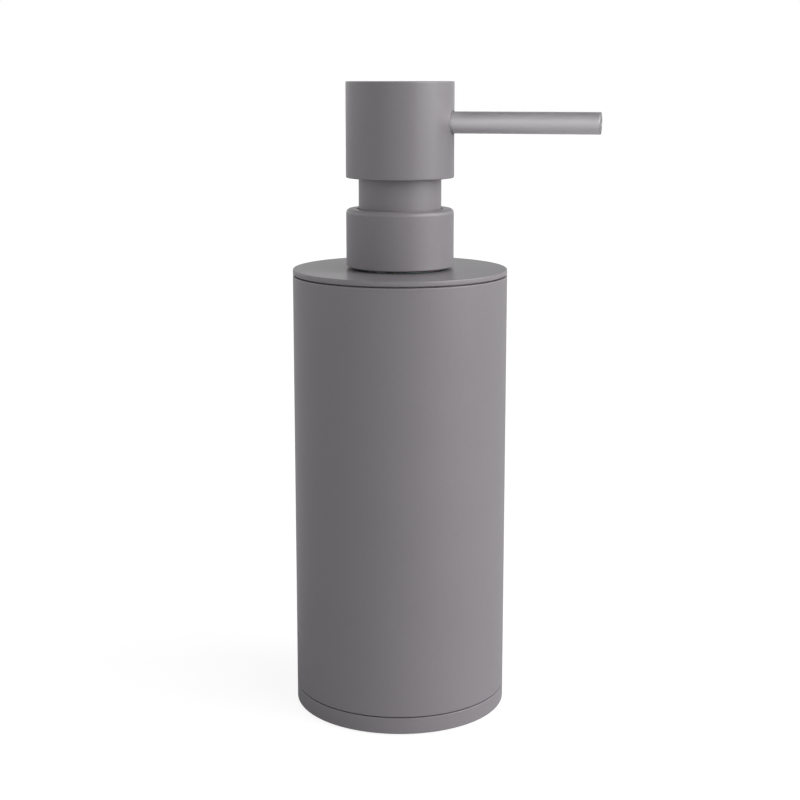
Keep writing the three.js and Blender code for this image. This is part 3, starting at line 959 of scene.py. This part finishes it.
# ------------------------
# Stem and stem foot
# The hollow stem carries the soap up into the head. Its foot is a second moulding: a flange that the spring
# lifts, and the seat and chamber of the outlet ball, closed from above by the stem's own plug.
# ------------------------
foot_low, foot_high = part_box("stem_foot")
stem_bore = 1.3 * MM
stem_radius = stem_high.x
foot_flange = foot_low.z + 1.5 * MM
foot_hole = 1.2 * MM
foot_seat_low = 118.6 * MM
foot_seat_high = 119.6 * MM
outlet_chamber = 2.1 * MM
stem_foot = turned(
    "stem_foot_moulded",
    [
        (foot_hole, foot_low.z, 0.2 * MM),
        (foot_high.x, foot_low.z, 0.2 * MM),
        (foot_high.x, foot_flange, 0.2 * MM),
        (stem_radius, foot_flange, 0.2 * MM),
        (stem_radius, foot_high.z, 0.15 * MM),
        (outlet_chamber, foot_high.z, 0.15 * MM),
        (outlet_chamber, foot_seat_high, 0.1 * MM),
        (foot_hole, foot_seat_low, 0.1 * MM),
    ],
    rounds=72,
)
dressed(stem_foot, pump_plastic, "plunger", "pump_plastic", "stem_foot")
stem_plug = outlet_chamber - 0.3 * MM
stem = turned(
    "stem_moulded",
    [
        (stem_bore, stem_low.z, 0.1 * MM),
        (stem_plug, stem_low.z, 0.2 * MM),
        (stem_plug, foot_high.z + 0.3 * MM, 0.1 * MM),
        (stem_radius, foot_high.z + 0.3 * MM, 0.15 * MM),
        (stem_radius, stem_high.z, 0.4 * MM),
        (stem_bore, stem_high.z, 0.2 * MM),
    ],
    rounds=72,
)
dressed(stem, pump_plastic, "plunger", "pump_plastic", "stem")

# ------------------------
# Piston
# A soft waxy moulding on the stem's foot. A thin lip at each end wipes the wall of the cylinder.
# ------------------------
piston_low, piston_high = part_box("piston")
piston_bore = stem_radius + 0.3 * MM
piston_lip = piston_high.x
piston_waist = 4.9 * MM
piston_plastic = moulded_plastic("piston_waxy", (0.66, 0.69, 0.7), (0.74, 0.77, 0.78), (0.4, 0.5), 0.4)
piston = turned(
    "piston_moulded",
    [
        (piston_bore, piston_low.z, 0.1 * MM),
        (piston_waist - 0.7 * MM, piston_low.z, 0.1 * MM),
        (piston_waist - 0.5 * MM, piston_low.z + 0.9 * MM, 0.15 * MM),
        (piston_lip - 0.4 * MM, piston_low.z, 0.1 * MM),
        (piston_lip, piston_low.z, 0.1 * MM),
        (piston_lip, piston_low.z + 0.5 * MM, 0.2 * MM),
        (piston_waist, piston_low.z + 2 * MM, 0.5 * MM),
        (piston_waist, piston_high.z - 2 * MM, 0.5 * MM),
        (piston_lip, piston_high.z - 0.5 * MM, 0.2 * MM),
        (piston_lip, piston_high.z, 0.1 * MM),
        (piston_lip - 0.4 * MM, piston_high.z, 0.1 * MM),
        (piston_waist - 0.5 * MM, piston_high.z - 0.9 * MM, 0.15 * MM),
        (piston_waist - 0.7 * MM, piston_high.z, 0.1 * MM),
        (piston_bore, piston_high.z, 0.1 * MM),
    ],
    rounds=72,
)
dressed(piston, piston_plastic, "plunger", "piston_plastic", "piston")

# ------------------------
# Return spring
# A stainless compression spring with closed ends. It stands on the ball retainer and lifts the stem's foot.
# ------------------------
spring_low, spring_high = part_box("return_spring")
spring_wire = 0.45 * MM
spring_radius = spring_high.x - spring_wire
spring_turns = 6.5
spring_sides = 12
wire_section = [
    (
        spring_wire * math.cos(2 * math.pi * k / spring_sides),
        spring_wire * math.sin(2 * math.pi * k / spring_sides),
    )
    for k in range(spring_sides)
]
coils = bmesh.new()
helix(
    coils,
    wire_section,
    spring_radius,
    spring_low.z + spring_wire,
    spring_high.z - spring_wire,
    spring_turns,
    steps=40,
    crowd=0.13,
)
return_spring = shown("return_spring_wound", coils)
spring_steel = stainless("spring_steel", (0.2, 0.32), (1, 1, 6))
dressed(return_spring, spring_steel, "pump", "spring_steel", "return_spring")
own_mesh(return_spring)

# ------------------------
# Neck sleeve
# A turned metal sleeve pressed up into the head. It slides down into the collar as the head is pressed, and
# its flange closes the head from below, set back a little from the rim.
# ------------------------
neck_low, neck_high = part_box("neck_sleeve")
head_low, head_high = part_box("head_shell")
neck_radius = 11.5 * MM
neck_bore = 10.5 * MM
neck_flange = head_low.z + 0.55 * MM
neck_sleeve = turned(
    "neck_sleeve_coated",
    [
        (neck_bore, neck_low.z, 0.15 * MM),
        (neck_radius, neck_low.z, 0.25 * MM),
        (neck_radius, neck_flange, 0.2 * MM),
        (neck_high.x, neck_flange, 0.15 * MM),
        (neck_high.x, neck_high.z, 0.15 * MM),
        (neck_bore, neck_high.z, 0.15 * MM),
    ],
    rounds=144,
)
dressed(neck_sleeve, coated_metal("coat_on_neck"), "head", "coated_metal", "neck_sleeve")

# ------------------------
# Head shell
# A deep-drawn cap with a flat top and almost square edges. The spout leaves through a drilled hole in its
# side, a hair wider than the tube.
# ------------------------
spout_low, spout_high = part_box("spout_tube")
spout_level = (spout_low.z + spout_high.z) / 2
spout_radius = (spout_high.z - spout_low.z) / 2
head_bore = 13.8 * MM
head_ceiling = head_high.z - 1.5 * MM
hole_clearance = 0.3 * MM
head_shell = turned(
    "head_shell_coated",
    [
        (0, head_ceiling, 0),
        (head_bore, head_ceiling, 0.4 * MM),
        (head_bore, head_low.z, 0.15 * MM),
        (pump_radius, head_low.z, 0.25 * MM),
        (pump_radius, head_high.z, 0.3 * MM),
        (0, head_high.z, 0),
    ],
    rounds=192,
)
spout_hole = round_bar(
    "spout_hole",
    spout_radius + hole_clearance,
    (head_bore - 3 * MM, 0, spout_level),
    (pump_radius + 3 * MM, 0, spout_level),
    rounds=64,
)
worked(head_shell, "DIFFERENCE", spout_hole)
dressed(head_shell, coated_metal("coat_on_head"), "head", "coated_metal", "head_shell")

# ------------------------
# Actuator core
# The moulded inside of the head: a hub pressed onto the stem, a cross channel to the spout's socket, and two
# discs that fill the shell, with thin upright ribs between them.
# ------------------------
core_low, core_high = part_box("actuator_core")
core_radius = core_high.x
core_hub = 6 * MM
core_disc = 2 * MM
core_boss = 5.4 * MM
core_boss_end = math.sqrt(core_radius**2 - core_boss**2) - 0.1 * MM
core_channel = stem_bore + 0.1 * MM
stem_socket = stem_radius + 0.3 * MM
rib_half = 0.6 * MM
seal_groove = (8 * MM, 9.7 * MM)
seal_groove_radius = spout_radius + 1.2 * MM
core_plastic = moulded_plastic("core_plastic", (0.1, 0.1, 0.105), (0.14, 0.14, 0.145), (0.4, 0.52))
actuator_core = turned(
    "actuator_core_moulded",
    [
        (0, core_low.z, 0),
        (core_radius, core_low.z, 0.25 * MM),
        (core_radius, core_low.z + core_disc, 0.25 * MM),
        (core_hub, core_low.z + core_disc, 0.8 * MM),
        (core_hub, core_high.z - core_disc, 0.8 * MM),
        (core_radius, core_high.z - core_disc, 0.25 * MM),
        (core_radius, core_high.z, 0.25 * MM),
        (0, core_high.z, 0),
    ],
    rounds=96,
)
ribs = [
    block(
        "rib",
        (core_hub - 1 * MM, -rib_half, core_low.z + core_disc / 2),
        (core_radius - 0.5 * MM, rib_half, core_high.z - core_disc / 2),
        math.radians(turn),
    )
    for turn in (60, 120, 180, 240, 300)
]
boss = round_bar("boss", core_boss, (0, 0, spout_level), (core_boss_end, 0, spout_level), rounds=64)
worked(actuator_core, "UNION", boss, *ribs)
worked(
    actuator_core,
    "DIFFERENCE",
    round_bar("stem_socket", stem_socket, (0, 0, core_low.z - 1 * MM), (0, 0, stem_high.z + 0.3 * MM)),
    round_bar("riser", core_channel, (0, 0, stem_high.z), (0, 0, spout_level + core_channel)),
    round_bar("channel", core_channel, (0, 0, spout_level), (spout_low.x, 0, spout_level)),
    round_bar(
        "spout_socket",
        spout_radius + hole_clearance,
        (spout_low.x - 0.3 * MM, 0, spout_level),
        (core_radius + 2 * MM, 0, spout_level),
    ),
    round_bar(
        "seal_groove",
        seal_groove_radius,
        (seal_groove[0], 0, spout_level),
        (seal_groove[1], 0, spout_level),
    ),
)
dressed(actuator_core, core_plastic, "head", "core_plastic", "actuator_core")

# ------------------------
# Spout
# A straight 6 mm tube of satin steel with a small outlet in its flat end. The flat end gets a darker steel
# colour, painted shade that tones down the key light falling on it. A plastic inner tube carries the soap to
# that end, and a small O-ring seals the tube's root in the core.
# ------------------------


def along_spout(piece):
    """Lays a piece made on the Z axis along +X at the spout's level."""
    for vertex in piece.data.vertices:
        across, side, along = vertex.co
        vertex.co = (along, side, spout_level - across)
    return piece


spout_bore = 2.3 * MM
spout_lip = 0.6 * MM
spout_outlet = 1.2 * MM
spout_tube = along_spout(
    turned(
        "spout_tube_satin",
        [
            (spout_bore, spout_low.x, 0.1 * MM),
            (spout_radius, spout_low.x, 0.1 * MM),
            (spout_radius, spout_high.x, 0.15 * MM),
            (spout_outlet, spout_high.x, 0.12 * MM),
            (spout_outlet, spout_high.x - spout_lip, 0.1 * MM),
            (spout_bore, spout_high.x - spout_lip, 0.1 * MM),
        ],
        rounds=96,
    )
)
spout_steel = stainless(
    "spout_satin_steel", (0.56, 0.62), (0.15, 1, 1), dark=(0.73, 0.715, 0.73), light=(0.79, 0.775, 0.79)
)
dressed(spout_tube, spout_steel, "head", "spout_steel", "spout_tube")
# The flat end's darker colour is painted shade that tones down the key light on it.
end_painted_shade = stainless(
    "spout_end_painted_shade", (0.34, 0.42), (1, 1, 1), dark=(0.33, 0.32, 0.33), light=(0.40, 0.39, 0.40)
)
spout_tube.data.materials.append(end_painted_shade)
for face in spout_tube.data.polygons:
    if face.center.x > spout_high.x - 0.1 * MM:
        face.material_index = 1

liner_low, liner_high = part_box("spout_liner")
liner_radius = (liner_high.z - liner_low.z) / 2
spout_liner = along_spout(
    turned(
        "spout_liner_extruded",
        [
            (spout_outlet, liner_low.x, 0.1 * MM),
            (liner_radius, liner_low.x, 0.1 * MM),
            (liner_radius, liner_high.x, 0.15 * MM),
            (spout_outlet, liner_high.x, 0.15 * MM),
        ],
        rounds=72,
    )
)
dressed(spout_liner, core_plastic, "head", "core_plastic", "spout_liner")

seal_low, seal_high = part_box("spout_seal")
seal_section = 0.33 * MM
seal_radius = spout_radius + 0.3 * MM + 0.35 * MM
spout_seal = along_spout(
    round_ring(
        "spout_seal_cord", seal_radius, (seal_low.x + seal_high.x) / 2, seal_section * 0.85, rounds=72
    )
)
dressed(spout_seal, seal_rubber, "head", "seal_rubber", "spout_seal")

# ------------------------
# Table, light and camera
# A plain pale table under a plain pale sky that glows at the horizon. Large soft lights stand round the
# dispenser, the strongest to the camera's right, and a long lens looks slightly down from head height.
# ------------------------
bpy.context.scene.view_settings.view_transform = "Standard"


def only_for_camera(tree):
    """A value of 1 where the camera sees a surface straight, and 0 for its light on other things."""
    return tree.nodes.new("ShaderNodeLightPath").outputs["Is Camera Ray"]


table_reach = 6.0
table_mesh = bpy.data.meshes.new("table_top")
table_corners = [(x * table_reach, y * table_reach, 0) for x, y in ((-1, -1), (1, -1), (1, 1), (-1, 1))]
table_mesh.from_pydata(table_corners, [], [(0, 1, 2, 3)])
table = bpy.data.objects.new("table_top", table_mesh)
bpy.context.scene.collection.objects.link(table)
table_paint, table_tree, table_shader = blank_material("table_paint")
table_glow = 0.88
table_tone = tinted(table_tree, only_for_camera(table_tree), (0.56, 0.56, 0.56), (0.22, 0.22, 0.22))
table_tree.links.new(table_tone, table_shader.inputs["Base Color"])
table_lift = banded(table_tree, only_for_camera(table_tree), 0, 1, 0, table_glow)
table_tree.links.new(table_lift, table_shader.inputs["Emission Strength"])
table_shader.inputs["Emission Color"].default_value = (1, 1, 1, 1)
table_shader.inputs["Roughness"].default_value = 1.0
table_shader.inputs["Specular IOR Level"].default_value = 0.0
table.data.materials.append(table_paint)

sky = bpy.data.worlds.new("pale_sky")
sky.use_nodes = True
sky_tree = sky.node_tree
sky_way = sky_tree.nodes.new("ShaderNodeSeparateXYZ")
sky_tree.links.new(sky_tree.nodes.new("ShaderNodeTexCoord").outputs["Generated"], sky_way.inputs["Vector"])
horizon_strength = 0.33
low_sky_strength = 0.42
horizon_glow = banded(sky_tree, sky_way.outputs["Z"], 0.12, 0.25, horizon_strength, 0.0)
low_sky_glow = banded(sky_tree, sky_way.outputs["Z"], 0.42, 0.55, low_sky_strength, 0.0)
horizon = sum_of(sky_tree, [(1.0, horizon_glow), (1.0, low_sky_glow)])
sky_tone = tinted(sky_tree, only_for_camera(sky_tree), horizon, (1, 1, 1))
sky_tree.links.new(sky_tone, sky_tree.nodes["Background"].inputs["Color"])
bpy.context.scene.world = sky

camera_azimuth = math.radians(13.3)
camera_distance = 0.4312
camera_height = 0.1782
camera_pitch = math.radians(10.2867)
camera_data = bpy.data.cameras.new("camera")
camera_data.lens = 69.59
camera_data.sensor_width = 36
camera_data.shift_y = -0.05
camera = bpy.data.objects.new("camera", camera_data)
camera.location = (
    math.sin(camera_azimuth) * camera_distance,
    -math.cos(camera_azimuth) * camera_distance,
    camera_height,
)
camera.rotation_euler = (math.pi / 2 - camera_pitch, 0, camera_azimuth)
bpy.context.scene.collection.objects.link(camera)
bpy.context.scene.camera = camera

light_width = math.radians(65)
studio_lights = (
    # name, degrees round to the camera's right, degrees up, strength
    ("fill_front", 0, 25, 0.19),
    ("key_light", 60, 25, 2.83),
    ("key_side", 90, 25, 1.19),
    ("back_light", 210, 25, 0.21),
    ("back_left", 240, 25, 0.20),
    ("left_side", 270, 25, 0.57),
)
for light_name, degrees_round, degrees_up, strength in studio_lights:
    light_data = bpy.data.lights.new(light_name, "SUN")
    light_data.angle = light_width
    light_data.energy = strength
    light = bpy.data.objects.new(light_name, light_data)
    light.rotation_euler = (
        math.pi / 2 - math.radians(degrees_up),
        0,
        camera_azimuth + math.radians(degrees_round),
    )
    bpy.context.scene.collection.objects.link(light)
